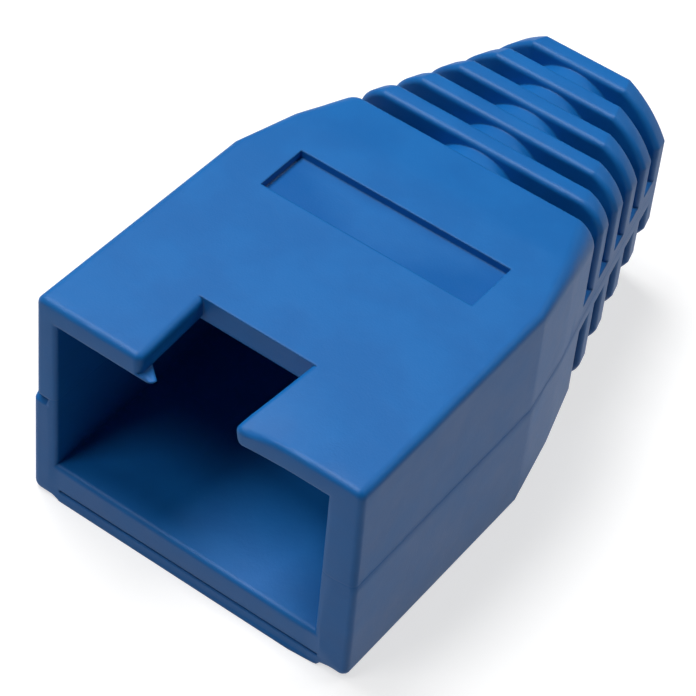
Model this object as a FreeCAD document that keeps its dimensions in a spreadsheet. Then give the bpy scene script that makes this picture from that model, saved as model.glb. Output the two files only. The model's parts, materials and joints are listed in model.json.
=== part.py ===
import FreeCAD, Part

# RJ45 strain relief boot, moulded in one piece of soft PVC.
#
# Frame: +Y runs along the cable from the mouth to the tail, X is the width and +Z is up. The origin is at the
# middle of the bounding box's foot. All lengths are millimetres.

import math
import os
import re

import Sketcher

os.makedirs("parts", exist_ok=True)
doc = FreeCAD.newDocument("strain_relief_boot")

# ---------------------------------------------------------------- driving sizes
SIZES = (
    # the plug that the mouth takes, and the box round it
    ("plug_width", 11.68),
    ("plug_clearance", 0.06),
    ("pocket_height", 7.2),
    ("pocket_depth", 10.4),
    ("side_wall", 1.1),
    ("floor_wall", 1.75),
    ("roof_wall", 1.05),
    ("straight_length", 10.85),
    ("mouth_flare", 0.15),
    ("facing_allowance", 0.005),
    ("edge_radius", 0.35),
    ("rim_radius", 0.25),
    ("mouth_edge_radius", 0.2),
    # the fine groove across the floor's front face, which leaves a lip under it
    ("lip_height", 0.45),
    ("groove_height", 0.12),
    ("groove_depth", 0.15),
    # the gap in the roof for the plug's latch
    ("latch_gap_width", 4.7),
    ("latch_mouth_width", 4.3),
    ("latch_gap_depth", 3.7),
    ("latch_corner_radius", 0.3),
    # the shallow label field behind it
    ("label_width", 9.45),
    ("label_length", 2.4),
    ("label_start", 9.55),
    ("label_depth", 0.35),
    # the cable and the tail round it
    ("cable_diameter", 6.0),
    ("cable_clearance", 0.05),
    ("sleeve_wall", 0.65),
    ("cable_height", 5.15),
    ("tail_width", 7.8),
    ("tail_rise", 4.18),
    ("tail_drop", 3.8),
    ("tail_corner", 2.0),
    ("tail_bulge_radius", 5.0),
    ("funnel_end", 15.4),
    ("funnel_margin", 0.1),
    # the flexing ribs
    ("rib_thickness", 0.87),
    ("slot_width", 0.75),
    ("slot_count", 5.0),
    ("neck_end", 16.0),
    ("neck_corner", 0.95),
    ("neck_bulge_radius", 1.2),
    ("neck_swell", 0.09),
    ("web_height", 1.25),
    ("ridge_radius", 2.3),
    ("ridge_drop", 0.25),
    ("rib_edge_radius", 0.2),
    ("tail_edge_radius", 0.15),
)

sheet = doc.addObject("Spreadsheet::Sheet", "sizes")
for row, (alias, value) in enumerate(SIZES, start=1):
    sheet.set(f"A{row}", alias)
    sheet.set(f"B{row}", str(value))
    sheet.setAlias(f"B{row}", alias)
doc.recompute()


def size(expression):
    """The expression in the sheet's terms: only its aliases are words joined by underscores."""
    return re.sub(r"[a-z]+(_[a-z]+)+", r"sizes.\g<0>", expression)


def value(expression):
    """The present number of such an expression."""
    return float(sheet.evalExpression(size(expression)))


# ---------------------------------------------------------------- what follows from them
POCKET_WIDTH = "(plug_width + 2 * plug_clearance)"
SHELL_WIDTH = f"({POCKET_WIDTH} + 2 * side_wall)"
POCKET_TOP = "(floor_wall + pocket_height)"
SHELL_HEIGHT = f"({POCKET_TOP} + roof_wall)"
BORE_RADIUS = "(cable_diameter / 2 + cable_clearance)"
SLEEVE_RADIUS = f"({BORE_RADIUS} + sleeve_wall)"
PITCH = "(slot_width + rib_thickness)"
SHELL_LENGTH = f"(neck_end + slot_count * {PITCH})"
TAPER_LENGTH = f"({SHELL_LENGTH} - straight_length)"
TAIL_TOP = "(cable_height + tail_rise)"
TAIL_FOOT = "(cable_height - tail_drop)"

body = doc.addObject("PartDesign::Body", "boot")
body.Label = "boot"
body.Placement = FreeCAD.Placement()
planes = {plane.Role: plane for plane in body.Origin.OriginFeatures if plane.TypeId == "App::Plane"}
axes = {axis.Role: axis for axis in body.Origin.OriginFeatures if axis.TypeId == "App::Line"}


def sketch_across(name, along):
    """A sketch across the cable, `along` mm from the mouth: its x is X and its y is Z."""
    sketch = body.newObject("Sketcher::SketchObject", name)
    sketch.AttachmentSupport = [(planes["XZ_Plane"], "")]
    sketch.MapMode = "FlatFace"
    sketch.setExpression("AttachmentOffset.Base.z", size(f"-({along})"))
    return sketch


def sketch_lengthwise(name):
    """A sketch on the middle plane: its x is Y and its y is Z."""
    sketch = body.newObject("Sketcher::SketchObject", name)
    sketch.AttachmentSupport = [(planes["YZ_Plane"], "")]
    sketch.MapMode = "FlatFace"
    return sketch


def sketch_above(name, height):
    """A level sketch, `height` mm above the foot: its x is X and its y is Y."""
    sketch = body.newObject("Sketcher::SketchObject", name)
    sketch.AttachmentSupport = [(planes["XY_Plane"], "")]
    sketch.MapMode = "FlatFace"
    sketch.setExpression("AttachmentOffset.Base.z", size(height))
    return sketch


def hold(sketch, name, constraint, expression):
    """Adds one driving dimension, named and bound to the sheet."""
    index = sketch.addConstraint(constraint)
    sketch.renameConstraint(index, name)
    sketch.setExpression(f"Constraints.{name}", size(expression))


def add_rectangle(sketch, left, right, low, high, tag=""):
    """A rectangle between four bound places, each measured from the sketch's origin."""
    x0, x1, y0, y1 = value(left), value(right), value(low), value(high)
    corners = [FreeCAD.Vector(x, y, 0) for x, y in ((x0, y0), (x1, y0), (x1, y1), (x0, y1))]
    first = sketch.GeometryCount
    for start, end in zip(corners, corners[1:] + corners[:1]):
        sketch.addGeometry(Part.LineSegment(start, end), False)
    for side in range(4):
        after = first + (side + 1) % 4
        sketch.addConstraint(Sketcher.Constraint("Coincident", first + side, 2, after, 1))
    sketch.addConstraint(Sketcher.Constraint("Horizontal", first))
    sketch.addConstraint(Sketcher.Constraint("Vertical", first + 1))
    sketch.addConstraint(Sketcher.Constraint("Horizontal", first + 2))
    sketch.addConstraint(Sketcher.Constraint("Vertical", first + 3))
    hold(sketch, "left" + tag, Sketcher.Constraint("DistanceX", -1, 1, first, 1, x0), left)
    hold(sketch, "right" + tag, Sketcher.Constraint("DistanceX", -1, 1, first, 2, x1), right)
    hold(sketch, "low" + tag, Sketcher.Constraint("DistanceY", -1, 1, first, 1, y0), low)
    hold(sketch, "high" + tag, Sketcher.Constraint("DistanceY", -1, 1, first + 2, 1, y1), high)


# the corners at which an anticlockwise arc runs towards +X, and towards +Y
turned = {"DistanceX": ("lower_right", "lower_left"), "DistanceY": ("lower_right", "upper_right")}


def add_soft_rectangle(sketch, width, low, high, corner, bulge):
    """A rectangle about x = 0 whose corners are arcs of radius `bulge` that cut `corner` off each side.

    Sides and arcs run anticlockwise. A bulge equal to the corner makes a quarter circle; a larger one, a
    flatter arc.
    """
    half, bottom, top = value(width) / 2, value(low), value(high)
    cut, radius = value(corner), value(bulge)
    sides = (
        ((cut - half, bottom), (half - cut, bottom)),
        ((half, bottom + cut), (half, top - cut)),
        ((half - cut, top), (cut - half, top)),
        ((-half, top - cut), (-half, bottom + cut)),
    )
    inset = cut / 2 + math.sqrt(radius**2 / 2 - cut**2 / 4)
    spread = math.asin(cut / math.sqrt(2) / radius)
    for side, (start, end) in enumerate(sides):
        sketch.addGeometry(Part.LineSegment(FreeCAD.Vector(*start, 0), FreeCAD.Vector(*end, 0)), False)
        across = 1 if side in (0, 1) else -1
        upward = 1 if side in (1, 2) else -1
        edge = top if upward > 0 else bottom
        centre = FreeCAD.Vector(across * (half - inset), edge - upward * inset, 0)
        middle = (side - 0.5) * math.pi / 2
        circle = Part.Circle(centre, FreeCAD.Vector(0, 0, 1), radius)
        sketch.addGeometry(Part.ArcOfCircle(circle, middle - spread, middle + spread), False)
    for side in range(4):
        line, arc, after = 2 * side, 2 * side + 1, (2 * side + 2) % 8
        sketch.addConstraint(Sketcher.Constraint("Coincident", line, 2, arc, 1))
        sketch.addConstraint(Sketcher.Constraint("Coincident", arc, 2, after, 1))
    for line, direction in ((2, "Vertical"), (4, "Horizontal"), (6, "Vertical")):
        sketch.addConstraint(Sketcher.Constraint(direction, line))
    for arc in (3, 5, 7):
        sketch.addConstraint(Sketcher.Constraint("Equal", 1, arc))
    sketch.addConstraint(Sketcher.Constraint("Symmetric", 0, 1, 0, 2, -2))
    hold(sketch, "width", Sketcher.Constraint("DistanceX", 6, 1, 2, 2, 2 * half), width)
    hold(sketch, "low", Sketcher.Constraint("DistanceY", -1, 1, 0, 1, bottom), low)
    hold(sketch, "high", Sketcher.Constraint("DistanceY", -1, 1, 4, 1, top), high)
    hold(sketch, "bulge", Sketcher.Constraint("Radius", 1, radius), bulge)
    for place, arc in (("lower_right", 1), ("upper_right", 3), ("upper_left", 5), ("lower_left", 7)):
        for direction in ("DistanceX", "DistanceY"):
            ends = (arc, 1, arc, 2) if place in turned[direction] else (arc, 2, arc, 1)
            hold(sketch, f"{place}_{direction[-1]}", Sketcher.Constraint(direction, *ends, cut), corner)


def add_tapered_gap(sketch, half_at_front, half_at_back, depth):
    """A symmetric four-sided outline from y = 0 back to `depth`, with its own width at each end."""
    front, back, far = value(half_at_front), value(half_at_back), value(depth)
    corners = [FreeCAD.Vector(*place, 0) for place in ((-front, 0), (front, 0), (back, far), (-back, far))]
    for start, end in zip(corners, corners[1:] + corners[:1]):
        sketch.addGeometry(Part.LineSegment(start, end), False)
    for side in range(4):
        sketch.addConstraint(Sketcher.Constraint("Coincident", side, 2, (side + 1) % 4, 1))
    sketch.addConstraint(Sketcher.Constraint("Symmetric", 0, 1, 0, 2, -2))
    sketch.addConstraint(Sketcher.Constraint("Symmetric", 2, 1, 2, 2, -2))
    sketch.addConstraint(Sketcher.Constraint("PointOnObject", 0, 2, -1))
    hold(sketch, "front", Sketcher.Constraint("DistanceX", -1, 1, 0, 2, front), half_at_front)
    hold(sketch, "back", Sketcher.Constraint("DistanceX", -1, 1, 2, 1, back), half_at_back)
    hold(sketch, "depth", Sketcher.Constraint("DistanceY", -1, 1, 2, 1, far), depth)


def add_circle(sketch, height, radius):
    """A circle on the middle plane, its centre `height` above the foot."""
    centre = FreeCAD.Vector(0, value(height), 0)
    sketch.addGeometry(Part.Circle(centre, FreeCAD.Vector(0, 0, 1), value(radius)), False)
    sketch.addConstraint(Sketcher.Constraint("PointOnObject", 0, 3, -2))
    hold(sketch, "centre_height", Sketcher.Constraint("DistanceY", -1, 1, 0, 3, value(height)), height)
    hold(sketch, "radius", Sketcher.Constraint("Radius", 0, value(radius)), radius)


def add_feature(kind, name, profile, **settings):
    """A PartDesign feature on a profile; check_volume recomputes it."""
    feature = body.newObject("PartDesign::" + kind, name)
    feature.Profile = profile
    for setting, content in settings.items():
        setattr(feature, setting, content)
    return feature


volumes = [0.0]


def check_volume(feature, grows):
    """Recomputes, and makes sure that the new feature added or took away material."""
    doc.recompute()
    volumes.append(feature.Shape.Volume)
    if (volumes[-1] > volumes[-2]) != grows or abs(volumes[-1] - volumes[-2]) < 1e-6:
        raise RuntimeError(f"{feature.Name} changed the volume from {volumes[-2]:.3f} to {volumes[-1]:.3f}")


TOUCH = 1e-4


def edges_where(shape, test):
    """The names of the edges whose every end and middle pass a test."""
    names = []
    for index, edge in enumerate(shape.Edges, start=1):
        middle = edge.valueAt((edge.FirstParameter + edge.LastParameter) / 2)
        if all(test(point) for point in [vertex.Point for vertex in edge.Vertexes] + [middle]):
            names.append(f"Edge{index}")
    return names


def round_edges(name, names, radius):
    """A fillet on the named edges of the body so far."""
    fillet = body.newObject("PartDesign::Fillet", name)
    fillet.Base = (fillet.BaseFeature, names)
    fillet.setExpression("Radius", size(radius))
    check_volume(fillet, False)


# ---------------------------------------------------------------- outer shell
# The sides draw in a little from the mouth to the shoulder. The foot is made slightly deep and faced off later.
BEFORE_FACING = "(-facing_allowance)"
mouth_section = sketch_across("mouth_section", "0")
MOUTH_WIDTH = f"({SHELL_WIDTH} + 2 * mouth_flare)"
add_soft_rectangle(mouth_section, MOUTH_WIDTH, BEFORE_FACING, SHELL_HEIGHT, "edge_radius", "edge_radius")
shoulder_section = sketch_across("shoulder_section", "straight_length")
add_soft_rectangle(shoulder_section, SHELL_WIDTH, BEFORE_FACING, SHELL_HEIGHT, "edge_radius", "edge_radius")
doc.recompute()
block = add_feature("AdditiveLoft", "block", mouth_section, Sections=[shoulder_section], Ruled=True)
check_volume(block, True)


def along_taper(at_shoulder, at_tail, place):
    """A height that runs straight from the shoulder to the tail's end, read at `place`."""
    share = f"(({place}) - straight_length) / {TAPER_LENGTH}"
    return f"({at_shoulder} + ({at_tail} - {at_shoulder}) * {share})"


def add_taper_section(name, along, swell, corner, bulge):
    """A section of the straight taper, grown by `swell` all round, with its own corners."""
    section = sketch_across(name, along)
    width = f"{along_taper(SHELL_WIDTH, 'tail_width', along)} + 2 * {swell}"
    foot = f"{along_taper('0', TAIL_FOOT, along)} - {swell}"
    top = f"{along_taper(SHELL_HEIGHT, TAIL_TOP, along)} + {swell}"
    add_soft_rectangle(section, width, foot, top, corner, bulge)
    return section


FIRST_SLOT = "(neck_end + slot_width / 2)"
NECK_MIDDLE = f"((straight_length + {FIRST_SLOT}) / 2)"
MIDDLE_CORNER = "((edge_radius + neck_corner) / 2)"
neck_middle = add_taper_section("neck_middle", NECK_MIDDLE, "neck_swell", MIDDLE_CORNER, MIDDLE_CORNER)
neck_section = add_taper_section("neck_section", FIRST_SLOT, "0", "neck_corner", "neck_bulge_radius")
tail_section = add_taper_section("tail_section", SHELL_LENGTH, "0", "tail_corner", "tail_bulge_radius")
doc.recompute()
outlines = [neck_middle, neck_section, tail_section]
taper = add_feature("AdditiveLoft", "taper", shoulder_section, Sections=outlines, Ruled=True)
check_volume(taper, True)


def at_tail_end(point):
    """On the outline of the tail's end face."""
    return abs(point.y - value(SHELL_LENGTH)) < TOUCH


def on_mouth_outline(point):
    """On the outline of the mouth's face."""
    return abs(point.y) < TOUCH


round_edges("tail_edge", edges_where(taper.Shape, at_tail_end), "tail_edge_radius")
round_edges("rim", edges_where(body.Tip.Shape, on_mouth_outline), "rim_radius")

# ---------------------------------------------------------------- slots between the ribs
slot_section = sketch_lengthwise("slot_section")
SLOT_END = "(neck_end + slot_width)"
add_rectangle(slot_section, "neck_end", SLOT_END, "cable_height + web_height / 2", SHELL_HEIGHT, "_upper")
add_rectangle(slot_section, "neck_end", SLOT_END, "0", "cable_height - web_height / 2", "_lower")
slot = add_feature("Pocket", "slot", slot_section, Type="ThroughAll", Midplane=True)
check_volume(slot, False)

slots = body.newObject("PartDesign::LinearPattern", "slots")
slots.Originals = [slot]
slots.Direction = (axes["Y_Axis"], [""])
slots.setExpression("Length", size(f"(slot_count - 1) * {PITCH}"))
slots.setExpression("Occurrences", size("slot_count"))
body.Tip = slots
check_volume(slots, False)


def at_slot_wall(point):
    """In the plane of one of the slots' walls."""
    along = point.y - value("neck_end")
    place = (along + TOUCH) % value(PITCH)
    near = min(place, abs(place - value("slot_width") - TOUCH))
    return -TOUCH < along < value(f"slot_count * {PITCH}") - TOUCH and near < 2 * TOUCH


def rib_outlines(shape):
    """The edges where the slots' walls meet the skin: each lies in one wall, and none runs along a web."""
    names = []
    for name in edges_where(shape, at_slot_wall):
        bounds = shape.getElement(name).BoundBox
        off_centre = abs(bounds.Center.z - value("cable_height"))
        along_web = bounds.ZLength < TOUCH and abs(off_centre - value("web_height") / 2) < TOUCH
        if bounds.YLength < TOUCH and not along_web:
            names.append(name)
    return names


round_edges("rib_edges", rib_outlines(slots.Shape), "rib_edge_radius")

# ---------------------------------------------------------------- sleeve round the cable, with its two ridges
SLEEVE_START = "(neck_end - rib_thickness / 2)"
SLEEVE_END = f"({SHELL_LENGTH} - rib_thickness / 2)"


def add_sleeve(name, height_at_start, height_at_end, radius):
    """A round core through every slot, from inside the neck to inside the end collar."""
    start = sketch_across(name + "_start", SLEEVE_START)
    add_circle(start, height_at_start, radius)
    end = sketch_across(name + "_end", SLEEVE_END)
    add_circle(end, height_at_end, radius)
    doc.recompute()
    core = add_feature("AdditiveLoft", name, start, Sections=[end], Ruled=True)
    check_volume(core, True)


add_sleeve("sleeve", "cable_height", "cable_height", SLEEVE_RADIUS)
BELOW_SKIN = "(ridge_drop + ridge_radius)"
add_sleeve(
    "upper_ridge",
    f"{along_taper(SHELL_HEIGHT, TAIL_TOP, SLEEVE_START)} - {BELOW_SKIN}",
    f"{along_taper(SHELL_HEIGHT, TAIL_TOP, SLEEVE_END)} - {BELOW_SKIN}",
    "ridge_radius",
)
add_sleeve(
    "lower_ridge",
    f"{along_taper('0', TAIL_FOOT, SLEEVE_START)} + {BELOW_SKIN}",
    f"{along_taper('0', TAIL_FOOT, SLEEVE_END)} + {BELOW_SKIN}",
    "ridge_radius",
)

# ---------------------------------------------------------------- pocket, funnel and bore
pocket_section = sketch_across("pocket_section", "0")
POCKET_SIDE = f"{POCKET_WIDTH} / 2"
add_rectangle(pocket_section, f"-{POCKET_SIDE}", POCKET_SIDE, "floor_wall", POCKET_TOP)
pocket = add_feature("Pocket", "pocket", pocket_section)
pocket.setExpression("Length", size("pocket_depth"))
check_volume(pocket, False)


def on_pocket_outline(point):
    """On the pocket's outline in the mouth's face."""
    low = value("floor_wall") - TOUCH
    high = value(POCKET_TOP) + TOUCH
    return abs(point.y) < TOUCH and abs(point.x) < value(POCKET_SIDE) + TOUCH and low < point.z < high


round_edges("mouth_edge", edges_where(pocket.Shape, on_pocket_outline), "mouth_edge_radius")

lip_section = sketch_across("lip_section", "0")
add_rectangle(lip_section, f"-{POCKET_SIDE}", POCKET_SIDE, "lip_height", "lip_height + groove_height")
lip_groove = add_feature("Pocket", "lip_groove", lip_section)
lip_groove.setExpression("Length", size("groove_depth"))
check_volume(lip_groove, False)

funnel_start = sketch_across("funnel_start", "pocket_depth")
add_rectangle(funnel_start, f"-{POCKET_SIDE}", POCKET_SIDE, "floor_wall", POCKET_TOP)
funnel_finish = sketch_across("funnel_finish", "funnel_end")
FUNNEL_SIDE = f"({BORE_RADIUS} + funnel_margin)"
add_rectangle(
    funnel_finish,
    f"-{FUNNEL_SIDE}",
    FUNNEL_SIDE,
    f"cable_height - {FUNNEL_SIDE}",
    f"cable_height + {FUNNEL_SIDE}",
)
doc.recompute()
funnel = add_feature("SubtractiveLoft", "funnel", funnel_start, Sections=[funnel_finish], Ruled=True)
check_volume(funnel, False)

bore_section = sketch_across("bore_section", SHELL_LENGTH)
add_circle(bore_section, "cable_height", BORE_RADIUS)
bore = add_feature("Pocket", "bore", bore_section, Reversed=True)
bore.setExpression("Length", size(f"{SHELL_LENGTH} - funnel_end"))
check_volume(bore, False)

# ---------------------------------------------------------------- latch gap and label field
latch_section = sketch_above("latch_section", SHELL_HEIGHT)
MOUTH_CORNER = "latch_mouth_width / 2"
REAR_CORNER = "latch_gap_width / 2"
add_tapered_gap(latch_section, MOUTH_CORNER, REAR_CORNER, "latch_gap_depth")
latch_gap = add_feature("Pocket", "latch_gap", latch_section)
latch_gap.setExpression("Length", size("roof_wall"))
check_volume(latch_gap, False)


def at_latch_corner(point):
    """On the two upright edges where the latch gap opens at the mouth."""
    return abs(point.y) < TOUCH and abs(abs(point.x) - value(MOUTH_CORNER)) < TOUCH


round_edges("latch_corners", edges_where(latch_gap.Shape, at_latch_corner), "latch_corner_radius")

label_section = sketch_above("label_section", SHELL_HEIGHT)
LABEL_SIDE = "label_width / 2"
add_rectangle(label_section, f"-{LABEL_SIDE}", LABEL_SIDE, "label_start", "label_start + label_length")
label_field = add_feature("Pocket", "label_field", label_section)
label_field.setExpression("Length", size("label_depth"))
check_volume(label_field, False)

# ---------------------------------------------------------------- facing of the foot
facing_section = sketch_above("facing_section", "0")
add_rectangle(facing_section, f"-{MOUTH_WIDTH}", MOUTH_WIDTH, f"-{SHELL_LENGTH}", f"2 * {SHELL_LENGTH}")
facing = add_feature("Pocket", "facing", facing_section)
facing.setExpression("Length", size(SHELL_HEIGHT))
check_volume(facing, False)

# ---------------------------------------------------------------- place, checks and file
body.setExpression("Placement.Base.y", size(f"-{SHELL_LENGTH} / 2"))
doc.recompute()

for item in doc.Objects:
    if "Invalid" in item.State or "Error" in item.State:
        raise RuntimeError(f"{item.Name} failed: {item.State}")

shape = body.Shape
if shape.isNull() or not shape.isValid() or len(shape.Solids) != 1:
    raise RuntimeError("the boot isn't one sound solid")
box = shape.optimalBoundingBox(True, False)
print(f"boot: {shape.Volume:.2f} mm3, {box.XLength:.2f} x {box.YLength:.2f} x {box.ZLength:.2f} mm")
print(f"corner {box.XMin:.3f} {box.YMin:.3f} {box.ZMin:.3f}, faces {len(shape.Faces)}")
shape.exportStep(f"parts/{body.Label}.step")
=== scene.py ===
"""The soft blue boot of a network plug: the moulded piece, its finish and the studio round it."""

import json
import math

import bpy
from mathutils import Matrix, Vector

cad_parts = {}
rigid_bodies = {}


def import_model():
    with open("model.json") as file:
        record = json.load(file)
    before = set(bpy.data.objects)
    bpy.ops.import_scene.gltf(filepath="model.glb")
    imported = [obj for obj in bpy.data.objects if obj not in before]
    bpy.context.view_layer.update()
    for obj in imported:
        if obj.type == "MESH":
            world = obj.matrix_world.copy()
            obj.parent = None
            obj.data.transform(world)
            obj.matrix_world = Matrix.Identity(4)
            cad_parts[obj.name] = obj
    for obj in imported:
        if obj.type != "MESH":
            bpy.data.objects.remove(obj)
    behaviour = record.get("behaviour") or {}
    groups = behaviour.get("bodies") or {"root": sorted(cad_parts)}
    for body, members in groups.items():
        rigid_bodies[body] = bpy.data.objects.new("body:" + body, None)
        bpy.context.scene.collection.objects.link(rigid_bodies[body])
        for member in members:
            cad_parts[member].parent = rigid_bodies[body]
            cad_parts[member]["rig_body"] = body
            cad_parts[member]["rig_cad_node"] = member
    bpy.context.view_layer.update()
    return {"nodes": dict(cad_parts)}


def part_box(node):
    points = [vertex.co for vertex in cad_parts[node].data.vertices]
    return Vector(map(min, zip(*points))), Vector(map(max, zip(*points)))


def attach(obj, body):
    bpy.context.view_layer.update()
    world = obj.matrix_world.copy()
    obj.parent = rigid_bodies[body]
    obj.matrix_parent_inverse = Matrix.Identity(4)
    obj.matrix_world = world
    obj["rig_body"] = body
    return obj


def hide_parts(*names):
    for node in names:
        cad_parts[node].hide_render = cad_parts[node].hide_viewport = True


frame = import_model()
LOW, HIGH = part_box("boot")
EDGE = 0.00025  # radius of the mouth's rounded edges
SLIVER = 0.00001  # how far a test reaches past a plane
WELD = 1e-7  # distance below which points are one

bl_info = {
    "name": "Strain relief boot",
    "version": (1, 0, 0),
    "blender": (4, 5, 0),
    "location": "3D View > Sidebar > Boot",
    "description": "Makes the moulded boot of a network plug and its studio",
    "category": "Object",
}


# ---------------------------------------------------------------- sizes and colours
class BootSizes(bpy.types.PropertyGroup):
    """What the moulded piece adds to the plain solid."""

    parting_height: bpy.props.FloatProperty(
        name="Parting height",
        description="Height of the line where the two mould halves meet",
        default=0.00515,
        unit="LENGTH",
    )
    step_left: bpy.props.FloatProperty(
        name="Left mould step",
        description="How far the upper mould half stands back from the lower one on the left of the mouth",
        default=0.00013,
        unit="LENGTH",
    )
    step_right: bpy.props.FloatProperty(
        name="Right mould step",
        description="How far the upper mould half stands back from the lower one on the right of the mouth",
        default=0.00004,
        unit="LENGTH",
    )
    step_height: bpy.props.FloatProperty(
        name="Step height",
        description="Height over which the mould step runs",
        default=0.0001,
        unit="LENGTH",
    )
    core_shift: bpy.props.FloatProperty(
        name="Core shift",
        description="How far the core that forms the pocket and the latch gap sat to one side",
        default=0.0002,
        unit="LENGTH",
    )
    pocket_depth: bpy.props.FloatProperty(
        name="Pocket depth",
        description="From the mouth to the start of the funnel",
        default=0.0104,
        unit="LENGTH",
    )
    gap_depth: bpy.props.FloatProperty(
        name="Latch gap depth",
        description="From the mouth to the rear wall of the latch gap",
        default=0.0037,
        unit="LENGTH",
    )
    pocket_width: bpy.props.FloatProperty(
        name="Pocket width",
        description="Between the pocket's side walls",
        default=0.0118,
        unit="LENGTH",
    )
    roof_wall: bpy.props.FloatProperty(
        name="Roof wall",
        description="Thickness of the roof over the pocket",
        default=0.00105,
        unit="LENGTH",
    )
    floor_wall: bpy.props.FloatProperty(
        name="Floor wall",
        description="Thickness of the floor under the pocket",
        default=0.00175,
        unit="LENGTH",
    )
    lip_height: bpy.props.FloatProperty(
        name="Lip height",
        description="Height of the lip under the fine groove",
        default=0.00045,
        unit="LENGTH",
    )
    lip_lean: bpy.props.FloatProperty(
        name="Lip lean",
        description="How far back the lip's upper edge leans",
        default=0.00003,
        unit="LENGTH",
    )
    band_set_back: bpy.props.FloatProperty(
        name="Band set-back",
        description="How far the front of the floor stands behind the lip and the side walls",
        default=0.00005,
        unit="LENGTH",
    )
    flap_sag: bpy.props.FloatProperty(
        name="Flap sag",
        description="How far the soft corner beside the latch gap hangs down",
        default=0.00012,
        unit="LENGTH",
    )
    sag_reach: bpy.props.FloatProperty(
        name="Sag reach",
        description="Distance from the flap's tip over which the sag fades",
        default=0.0022,
        unit="LENGTH",
    )
    flap_thinning: bpy.props.FloatProperty(
        name="Flap thinning",
        description="How far the top of that corner rounds off towards its tip",
        default=0.00028,
        unit="LENGTH",
    )
    thinning_reach: bpy.props.FloatProperty(
        name="Thinning reach",
        description="Distance from the flap's tip over which the rounding fades",
        default=0.0010,
        unit="LENGTH",
    )
    fin_length: bpy.props.FloatProperty(
        name="Fin length",
        description="Length of the thin fin of flash on the other flap's lower edge",
        default=0.0006,
        unit="LENGTH",
    )
    corner_draw: bpy.props.FloatProperty(
        name="Corner draw",
        description="How far the lower front corner on the right is drawn in and up",
        default=0.00014,
        unit="LENGTH",
    )
    corner_reach: bpy.props.FloatProperty(
        name="Corner reach",
        description="Distance from the corner over which the draw fades",
        default=0.0014,
        unit="LENGTH",
    )
    nick_depth: bpy.props.FloatProperty(
        name="Nick depth",
        description="Depth of the small nick where the parting line meets the mouth",
        default=0.00028,
        unit="LENGTH",
    )
    nick_height: bpy.props.FloatProperty(
        name="Nick height",
        description="Height of the slope below the nick",
        default=0.0003,
        unit="LENGTH",
    )
    nick_width: bpy.props.FloatProperty(
        name="Nick width",
        description="How far the nick reaches in from the outer side",
        default=0.0007,
        unit="LENGTH",
    )


class BootFinish(bpy.types.PropertyGroup):
    """Colours, painted label shade and grain of the soft vinyl."""

    vinyl: bpy.props.FloatVectorProperty(
        name="Vinyl",
        description="Main colour of the soft vinyl",
        default=(0.0015, 0.138, 0.445),
        subtype="COLOR",
    )
    vinyl_deep: bpy.props.FloatVectorProperty(
        name="Deep vinyl",
        description="Colour where more pigment has gathered",
        default=(0.0010, 0.124, 0.412),
        subtype="COLOR",
    )
    # Painted shade: a darker, more saturated blue laid on the ends of the sunk label field's floor,
    # standing in for the shade and the weaker sheen there.
    vinyl_label: bpy.props.FloatVectorProperty(
        name="Label vinyl",
        description="Colour of the polished label field",
        default=(0.0004, 0.098, 0.360),
        subtype="COLOR",
    )
    label_polish: bpy.props.FloatProperty(
        name="Label polish",
        description="How much smoother the label field is",
        default=0.15,
    )
    label_middle: bpy.props.FloatProperty(
        name="Label middle",
        description="Place of the label field's middle along the boot",
        default=-0.0013,
        unit="LENGTH",
    )
    label_half_length: bpy.props.FloatProperty(
        name="Label half length",
        description="From the label field's middle to where its polish starts to fade, along the boot",
        default=0.0009,
        unit="LENGTH",
    )
    label_half_width: bpy.props.FloatProperty(
        name="Label half width",
        description="From the label field's middle to where its polish starts to fade, across the boot",
        default=0.0046,
        unit="LENGTH",
    )
    # Painted shade: the label field's middle keeps the plain colour and roughness, and the painted shade
    # and polish reach full strength at this distance from it.
    label_worn_width: bpy.props.FloatProperty(
        name="Label worn width",
        description="Distance from the worn middle of the label field at which the full polish is left",
        default=0.004,
        unit="LENGTH",
    )
    roughness: bpy.props.FloatProperty(
        name="Roughness",
        description="Mean roughness of the satin skin",
        default=0.5,
    )
    refraction: bpy.props.FloatProperty(
        name="Index of refraction",
        description="Index of refraction of the vinyl",
        default=1.4,
    )
    edge_softness: bpy.props.FloatProperty(
        name="Edge softness",
        description="How far from an edge the skin starts to turn",
        default=0.00012,
        unit="LENGTH",
    )
    grain_size: bpy.props.FloatProperty(
        name="Grain size",
        description="Width of one grain of the spark-eroded mould",
        default=0.00009,
        unit="LENGTH",
    )
    grain_height: bpy.props.FloatProperty(
        name="Grain height",
        description="Height of the fine grain",
        default=0.000005,
        unit="LENGTH",
    )
    cloud_height: bpy.props.FloatProperty(
        name="Cloud height",
        description="Height of the wide, shallow waves in the skin",
        default=0.00002,
        unit="LENGTH",
    )
    witness_depth: bpy.props.FloatProperty(
        name="Witness depth",
        description="Depth of the fine line where the mould parts",
        default=0.000006,
        unit="LENGTH",
    )


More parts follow.
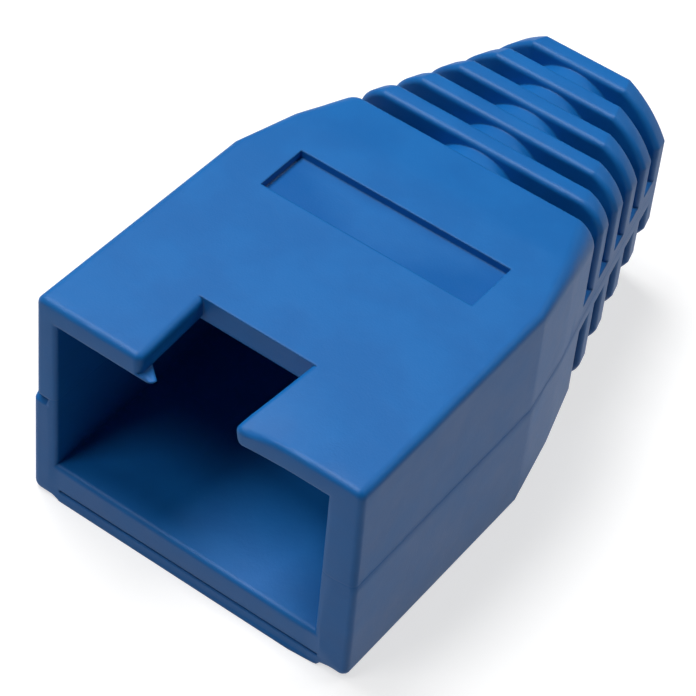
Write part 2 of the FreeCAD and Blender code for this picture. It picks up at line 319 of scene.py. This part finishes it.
class StudioLook(bpy.types.PropertyGroup):
    """Camera, floor and surroundings."""

    look_at: bpy.props.FloatVectorProperty(
        name="Look at",
        description="Point that the camera faces",
        default=(-0.001038, -0.001174, 0.002862),
        subtype="TRANSLATION",
    )
    azimuth: bpy.props.FloatProperty(
        name="Azimuth",
        description="Camera's turn about the vertical, from straight in front of the mouth",
        default=math.radians(32.522),
        subtype="ANGLE",
    )
    elevation: bpy.props.FloatProperty(
        name="Elevation",
        description="Camera's height angle above the floor",
        default=math.radians(46.037),
        subtype="ANGLE",
    )
    roll: bpy.props.FloatProperty(
        name="Roll",
        description="Camera's turn about its own line of sight",
        default=math.radians(6.0725),
        subtype="ANGLE",
    )
    distance: bpy.props.FloatProperty(
        name="Distance",
        description="From the camera to the point that it faces",
        default=0.1127,
        unit="LENGTH",
    )
    lens: bpy.props.FloatProperty(
        name="Lens",
        description="Focal length of the camera in millimetres",
        default=155.52,
    )
    floor_tone: bpy.props.FloatProperty(
        name="Floor tone",
        description="How much of the light the floor throws back to the camera",
        default=0.50,
    )
    floor_glow: bpy.props.FloatProperty(
        name="Floor glow",
        description="Share of white that brings the floor up to a white backdrop",
        default=0.64,
    )
    floor_bounce: bpy.props.FloatProperty(
        name="Floor bounce",
        description="How much of the light the floor throws back to the boot",
        default=0.43,
    )
    air_light: bpy.props.FloatProperty(
        name="Air light",
        description="Strength of the even light from all sides",
        default=0.04,
    )
    air_sheen: bpy.props.FloatProperty(
        name="Air sheen",
        description="Strength of the surroundings as the skin mirrors them",
        default=0.12,
    )


# ---------------------------------------------------------------- shader maths
class Wire:
    """A shader socket that ordinary arithmetic works on: each operator adds its Math node."""

    def __init__(self, bench, socket):
        self.bench = bench
        self.socket = socket

    def _math(self, operation, *values):
        return self.bench.node("ShaderNodeMath", {"operation": operation}, *values)

    def __add__(self, other):
        return self._math("ADD", self, other)

    __radd__ = __add__

    def __sub__(self, other):
        return self._math("SUBTRACT", self, other)

    def __rsub__(self, other):
        return self._math("SUBTRACT", other, self)

    def __mul__(self, other):
        return self._math("MULTIPLY", self, other)

    __rmul__ = __mul__

    def __abs__(self):
        return self._math("ABSOLUTE", self)


class Bench:
    """A material's node tree, on which nodes are laid out and wired."""

    def __init__(self, name):
        self.material = bpy.data.materials.new(name)
        self.material.use_nodes = True
        self.tree = self.material.node_tree
        self.tree.nodes.clear()

    def node(self, kind, settings, *values, out=0, **named):
        """Adds a node: its settings first, then values or wires by place or by socket name."""
        node = self.tree.nodes.new(kind)
        for setting, content in settings.items():
            setattr(node, setting, content)
        for place, content in enumerate(values):
            self._plug(node.inputs[place], content)
        for socket, content in named.items():
            self._plug(node.inputs[socket.replace("_", " ")], content)
        return Wire(self, node.outputs[out]) if len(node.outputs) else None

    def _plug(self, socket, content):
        if isinstance(content, Wire):
            self.tree.links.new(content.socket, socket)
        elif content is not None:
            socket.default_value = content

    def smooth(self, value, low, high):
        """0 below low, 1 above high, and a smooth run between."""
        return self.node(
            "ShaderNodeMapRange", {"interpolation_type": "SMOOTHSTEP"}, value, low, high, 0.0, 1.0
        )

    def mix(self, factor, first, second):
        """A colour between two colours."""
        node = self.tree.nodes.new("ShaderNodeMix")
        node.data_type = "RGBA"
        self._plug(node.inputs[0], factor)
        self._plug(node.inputs[6], first)
        self._plug(node.inputs[7], second)
        return Wire(self, node.outputs[2])


def rgba(colour):
    """A colour with full alpha."""
    return (*colour, 1.0)


# ---------------------------------------------------------------- finish
# features to the metre of the noises in the skin
CLOUDS = 420.0
FLOW = 1500.0
SPECKS = 2600.0
DUST_COLOUR = (0.10, 0.27, 0.55, 1.0)


def soft_vinyl(sizes, finish):
    """Satin soft vinyl with a fine eroded grain, faint clouds of pigment, and a label field that is
    polished and darkened with painted shade at its ends.
    """
    bench = Bench("soft_blue_vinyl")
    place = bench.node("ShaderNodeTexCoord", {}, out="Object")
    parts = bench.node("ShaderNodeSeparateXYZ", {}, place)
    across, along, height = (Wire(bench, socket) for socket in parts.socket.node.outputs)

    grain = bench.node(
        "ShaderNodeTexNoise", {}, place, Scale=1 / finish.grain_size, Detail=3.0, Roughness=0.6
    )
    cloud = bench.node("ShaderNodeTexNoise", {}, place, Scale=CLOUDS, Detail=4.0, Roughness=0.55)
    flow = bench.node("ShaderNodeTexNoise", {}, place, Scale=FLOW, Detail=2.0, Roughness=0.5)
    specks = bench.node("ShaderNodeTexVoronoi", {}, place, Scale=SPECKS, out="Distance")

    pigment = bench.smooth(cloud, 0.35, 0.68)
    colour = bench.mix(pigment, rgba(finish.vinyl_deep), rgba(finish.vinyl))
    speck = 1 - bench.smooth(specks, 0.03, 0.09)
    dust = speck * bench.smooth(flow, 0.55, 0.7) * 0.25
    colour = bench.mix(dust, colour, DUST_COLOUR)

    label = label_field(bench, finish, across, along, height)
    # painted shade: the ends of the label field's floor are mixed towards a darker blue for the shade and
    # weaker sheen in the recess
    colour = bench.mix(label * 0.75, colour, rgba(finish.vinyl_label))

    off_line = abs(height - sizes.parting_height)
    witness = 1 - bench.smooth(off_line, 0.00001, 0.00006)
    colour = bench.mix(witness * 0.15, colour, rgba(finish.vinyl_deep))

    rough = finish.roughness + (cloud - 0.5) * 0.10 + (flow - 0.5) * 0.06
    rough = rough - label * finish.label_polish

    relief = grain * finish.grain_height + cloud * finish.cloud_height
    relief = relief - witness * finish.witness_depth
    worn = bench.node("ShaderNodeBevel", {"samples": 6}, Radius=finish.edge_softness)
    bump = bench.node("ShaderNodeBump", {}, Strength=1.0, Distance=1.0, Height=relief, Normal=worn)
    shader = bench.node(
        "ShaderNodeBsdfPrincipled",
        {},
        Base_Color=colour,
        Roughness=rough,
        Normal=bump,
        IOR=finish.refraction,
    )
    bench.node("ShaderNodeOutputMaterial", {}, shader)
    return bench.material


def label_field(bench, finish, across, along, height):
    """1 on the ends of the label field's floor, which get painted shade and polish, 0 elsewhere and towards
    its middle, which keeps the plain colour and roughness.
    """
    length, width = finish.label_half_length, finish.label_half_width
    field = 1 - bench.smooth(abs(along - finish.label_middle), length, length + 0.00035)
    field = field * (1 - bench.smooth(abs(across), width, width + 0.0003))
    sunk = 1 - bench.smooth(height, HIGH.z - 0.0003, HIGH.z - 0.00015)
    sunk = sunk * bench.smooth(height, HIGH.z - 0.0006, HIGH.z - 0.0005)
    # the middle left out of the painted shade and the polish lies aslant
    from_middle = abs(across) + (finish.label_middle - along) * 1.6
    return field * sunk * bench.smooth(from_middle, 0.0005, finish.label_worn_width)


# ---------------------------------------------------------------- modelling helpers
def activate(piece):
    """Makes one object the only selected and active one."""
    bpy.ops.object.select_all(action="DESELECT")
    piece.select_set(True)
    bpy.context.view_layer.objects.active = piece


def select_vertices(piece, test):
    """In edit mode, selects the vertices whose place passes a test. Leaves and re-enters edit mode."""
    bpy.ops.mesh.select_mode(type="VERT")
    bpy.ops.mesh.select_all(action="DESELECT")
    bpy.ops.object.mode_set(mode="OBJECT")
    for vertex in piece.data.vertices:
        vertex.select = test(vertex.co)
    bpy.ops.object.mode_set(mode="EDIT")


def cut(axis, *places):
    """Bisects the whole mesh at planes square to an axis, 0 for X, 1 for Y and 2 for Z."""
    normal = [float(number == axis) for number in range(3)]
    for place in places:
        bpy.ops.mesh.select_all(action="SELECT")
        bpy.ops.mesh.bisect(plane_co=[place * part for part in normal], plane_no=normal, threshold=WELD)


def nudge(piece, test, offset, reach=0.0):
    """Moves the vertices that pass a test and, with a reach, what lies round them by a share of it."""
    select_vertices(piece, test)
    bpy.ops.transform.translate(
        value=offset,
        use_proportional_edit=reach > 0,
        proportional_edit_falloff="SMOOTH",
        proportional_size=reach or 1.0,
    )


# ---------------------------------------------------------------- operators
class BOOT_OT_shell(bpy.types.Operator):
    """Makes the moulded boot from the solid, with the small step between its mould halves"""

    bl_idname = "boot.shell"
    bl_label = "Moulded boot"
    bl_options = {"REGISTER", "UNDO"}

    def execute(self, context):
        sizes = context.scene.boot_sizes
        solid = frame["nodes"]["boot"]
        piece = solid.copy()
        piece.data = solid.data.copy()
        piece.name = piece.data.name = "moulded_boot"
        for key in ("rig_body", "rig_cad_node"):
            if key in piece:
                del piece[key]
        piece.parent = None
        context.scene.collection.objects.link(piece)
        activate(piece)
        bpy.ops.mesh.customdata_custom_splitnormals_clear()
        bpy.ops.object.mode_set(mode="EDIT")
        bpy.ops.mesh.select_all(action="SELECT")
        bpy.ops.mesh.remove_doubles(threshold=WELD)

        self.shift_core(piece, sizes)
        self.lean_lip(piece, sizes)
        self.draw_corner(piece, sizes)
        self.soften_flaps(piece, sizes)
        self.step_halves(piece, sizes)
        bpy.ops.object.mode_set(mode="OBJECT")
        bpy.ops.object.shade_smooth_by_angle(angle=math.radians(28))
        flats = piece.modifiers.new("flat_faces_lead", "WEIGHTED_NORMAL")
        flats.keep_sharp = True
        flats.weight = 100
        bpy.ops.object.modifier_apply(modifier=flats.name)

        piece.data.materials.clear()
        piece.data.materials.append(soft_vinyl(sizes, context.scene.boot_finish))
        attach(piece, "root")
        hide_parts("boot")
        return {"FINISHED"}

    def on_core(self, co, sizes):
        """On the surface that the core leaves: the pocket, the mouth's inner edge and the latch gap."""
        depth = co.y - LOW.y
        inner = sizes.pocket_width / 2 + sizes.core_shift + EDGE * 1.3
        roof = HIGH.z - sizes.roof_wall
        if abs(co.x) < inner / 2 and co.z > roof - EDGE:
            return depth < sizes.gap_depth + EDGE
        in_height = sizes.floor_wall - EDGE < co.z < roof + EDGE
        return in_height and abs(co.x) < inner and depth < sizes.pocket_depth + SLIVER

    def shift_core(self, piece, sizes):
        """Moves the pocket and the latch gap to one side, as the core sat in the mould."""
        nudge(piece, lambda co: self.on_core(co, sizes), (-sizes.core_shift, 0, 0))

    def lean_lip(self, piece, sizes):
        """Squares the foot of the mouth to a thin lip that leans back, and sets the floor's front back."""
        reach = sizes.pocket_width / 2
        beside = sizes.core_shift * 2.5
        cut(0, -reach - beside, reach + sizes.core_shift / 2, -reach, reach)
        front = LOW.y + EDGE - SLIVER
        select_vertices(
            piece,
            lambda co: abs(co.x) < reach + SLIVER and co.z < sizes.lip_height - SLIVER and co.y < front,
        )
        bpy.ops.transform.resize(value=(1, 0, 0.4), center_override=(0, LOW.y, 0))
        nudge(
            piece,
            lambda co: abs(co.x) < reach + SLIVER
            and abs(co.z - sizes.lip_height) < SLIVER
            and co.y < LOW.y + SLIVER,
            (0, sizes.lip_lean, 0),
        )
        nudge(
            piece,
            lambda co: -reach - sizes.core_shift * 2.25 < co.x < reach + SLIVER
            and sizes.lip_height + SLIVER < co.z < sizes.floor_wall + SLIVER
            and co.y < front,
            (0, sizes.band_set_back, 0),
        )

    def draw_corner(self, piece, sizes):
        """Draws the lower front corner on the right in and up, as the soft part shrank."""
        near = EDGE * 2
        nudge(
            piece,
            lambda co: co.x > HIGH.x - 0.0006 and co.y < LOW.y + near and co.z < near,
            (0, sizes.corner_draw, sizes.corner_draw),
            sizes.corner_reach,
        )

    def soften_flaps(self, piece, sizes):
        """Lets the flap on one side of the latch gap hang, and leaves a fin of flash on the other."""
        roof = HIGH.z - sizes.roof_wall
        cut(0, 0.0030, 0.0040, 0.0052)
        cut(1, LOW.y + 0.0008, LOW.y + 0.0018)
        cut(2, roof + 0.00012, roof + 0.00035)

        def at_tip(co):
            return 0.0015 < co.x < 0.0024 and co.y < LOW.y + 0.0004

        def at_lower_edge(co):
            return -0.0028 < co.x < -0.0015 and co.y < LOW.y + 0.00035 and abs(co.z - roof) < EDGE * 0.7

        sag = sizes.flap_sag
        thinning = sizes.flap_thinning
        nudge(piece, lambda co: at_tip(co) and co.z > roof - EDGE, (-sag, 0, -sag), sizes.sag_reach)
        nudge(
            piece,
            lambda co: at_tip(co) and co.z > roof + EDGE * 2,
            (-thinning / 2, 0, -thinning),
            sizes.thinning_reach,
        )
        nudge(piece, at_lower_edge, (sizes.fin_length, 0, 0))

    def step_halves(self, piece, sizes):
        """Sets the upper mould half back on both sides, with a nick at the mouth's parting line."""
        top = sizes.parting_height
        low = top - sizes.step_height
        cut(2, top, low, low - sizes.nick_height)
        left = LOW.x + sizes.step_left
        ratio = (HIGH.x - sizes.step_right - left) / (HIGH.x - LOW.x)
        pivot = (left - ratio * LOW.x) / (1 - ratio)
        select_vertices(piece, lambda co: co.z > (top + low) / 2 and not self.on_core(co, sizes))
        bpy.ops.transform.resize(value=(ratio, 1, 1), center_override=(pivot, 0, 0))
        nudge(
            piece,
            lambda co: abs(co.z - low) < SLIVER
            and co.x < LOW.x + sizes.nick_width
            and co.y < LOW.y + EDGE + SLIVER,
            (0, sizes.nick_depth, 0),
        )


def area_lamp(name, place, aim, size, power):
    """A soft square lamp that faces a point."""
    bpy.ops.object.light_add(type="AREA", location=place)
    lamp = bpy.context.object
    lamp.name = name
    lamp.data.shape = "SQUARE"
    lamp.data.size = size
    lamp.data.energy = power
    lamp.rotation_euler = (Vector(aim) - Vector(place)).to_track_quat("-Z", "Y").to_euler()
    return lamp


# name, place, point that it faces, size of its side and power of each lamp
LAMPS = (
    ("overhead_lamp", (-0.10, 0.02, 0.28), (0, 0, 0), 0.14, 0.71),
    ("front_lamp", (-0.08, -0.15, 0.285), (0, 0, 0.004), 0.10, 0.24),
    ("back_lamp", (0.12, 0.20, 0.22), (0, 0, 0.004), 0.15, 0.19),
)


class BOOT_OT_studio(bpy.types.Operator):
    """Sets up the pale floor, the soft lamps and the camera"""

    bl_idname = "boot.studio"
    bl_label = "Studio"
    bl_options = {"REGISTER", "UNDO"}

    def execute(self, context):
        look = context.scene.boot_look
        self.add_floor(look)
        self.add_air(context, look)
        for lamp in LAMPS:
            area_lamp(*lamp)
        self.add_camera(context, look)
        return {"FINISHED"}

    def add_floor(self, look):
        """A pale floor, white to the camera and in what the skin mirrors, that keeps the shadow."""
        bpy.ops.mesh.primitive_plane_add(size=4.0, location=(0, 0, LOW.z))
        floor = bpy.context.object
        floor.name = "studio_floor"
        bench = Bench("white_table")
        white = (1.0, 1.0, 1.0, 1.0)
        tone, bounce = look.floor_tone, look.floor_bounce
        pale = bench.node("ShaderNodeBsdfDiffuse", {}, (tone, tone, tone, 1.0))
        glow = bench.node("ShaderNodeEmission", {}, white, look.floor_glow)
        lit = bench.node("ShaderNodeAddShader", {}, pale, glow)
        backdrop = bench.node("ShaderNodeEmission", {}, white, 1.0)
        place = bench.node("ShaderNodeTexCoord", {}, out="Object")
        away = bench.node("ShaderNodeVectorMath", {"operation": "LENGTH"}, place, out="Value")
        lit = bench.node("ShaderNodeMixShader", {}, bench.smooth(away, 0.04, 0.15), lit, backdrop)
        dim = bench.node("ShaderNodeBsdfDiffuse", {}, (bounce, bounce, bounce, 1.0))
        camera = bench.node("ShaderNodeLightPath", {}, out="Is Camera Ray")
        glossy = Wire(bench, camera.socket.node.outputs["Is Glossy Ray"])
        table = bench.node("ShaderNodeMixShader", {}, glossy, dim, backdrop)
        table = bench.node("ShaderNodeMixShader", {}, camera, table, lit)
        bench.node("ShaderNodeOutputMaterial", {}, table)
        floor.data.materials.append(bench.material)

    def add_air(self, context, look):
        """A world that is white to the camera and much weaker as a light."""
        world = bpy.data.worlds.new("studio_air")
        world.use_nodes = True
        tree = world.node_tree
        background = tree.nodes["Background"]
        background.inputs["Color"].default_value = (1.0, 1.0, 1.0, 1.0)
        path = tree.nodes.new("ShaderNodeLightPath")
        level = tree.nodes.new("ShaderNodeMapRange")
        level.inputs["To Min"].default_value = look.air_light
        level.inputs["To Max"].default_value = look.air_sheen
        tree.links.new(path.outputs["Is Glossy Ray"], level.inputs["Value"])
        seen = tree.nodes.new("ShaderNodeMath")
        seen.operation = "MAXIMUM"
        tree.links.new(path.outputs["Is Camera Ray"], seen.inputs[0])
        tree.links.new(level.outputs[0], seen.inputs[1])
        tree.links.new(seen.outputs[0], background.inputs["Strength"])
        context.scene.world = world

    def add_camera(self, context, look):
        aim = Vector(look.look_at)
        back = Vector((
            math.sin(look.azimuth) * math.cos(look.elevation),
            -math.cos(look.azimuth) * math.cos(look.elevation),
            math.sin(look.elevation),
        ))
        bpy.ops.object.camera_add(location=aim + back * look.distance)
        camera = bpy.context.object
        camera.name = "studio_camera"
        level = (-back).to_track_quat("-Z", "Y").to_matrix()
        camera.rotation_euler = (level @ Matrix.Rotation(look.roll, 3, "Z")).to_euler()
        camera.data.lens = look.lens
        camera.data.sensor_width = 36.0
        camera.data.clip_start = 0.001
        context.scene.camera = camera
        context.scene.view_settings.view_transform = "Standard"


class BOOT_PT_panel(bpy.types.Panel):
    """Lists the steps and the sizes that can be changed"""

    bl_idname = "BOOT_PT_panel"
    bl_label = "Strain relief boot"
    bl_space_type = "VIEW_3D"
    bl_region_type = "UI"
    bl_category = "Boot"

    def draw(self, context):
        for step in (BOOT_OT_shell, BOOT_OT_studio):
            self.layout.operator(step.bl_idname)
        for name in ("boot_sizes", "boot_finish", "boot_look"):
            group = getattr(context.scene, name)
            column = self.layout.column(align=True)
            for prop in group.__annotations__:
                column.prop(group, prop)


CLASSES = (BootSizes, BootFinish, StudioLook, BOOT_OT_shell, BOOT_OT_studio, BOOT_PT_panel)


def register():
    for item in CLASSES:
        bpy.utils.register_class(item)
    bpy.types.Scene.boot_sizes = bpy.props.PointerProperty(type=BootSizes)
    bpy.types.Scene.boot_finish = bpy.props.PointerProperty(type=BootFinish)
    bpy.types.Scene.boot_look = bpy.props.PointerProperty(type=StudioLook)


def unregister():
    del bpy.types.Scene.boot_look
    del bpy.types.Scene.boot_finish
    del bpy.types.Scene.boot_sizes
    for item in reversed(CLASSES):
        bpy.utils.unregister_class(item)


def main():
    register()
    bpy.ops.boot.shell()
    bpy.ops.boot.studio()


if __name__ == "__main__":
    main()
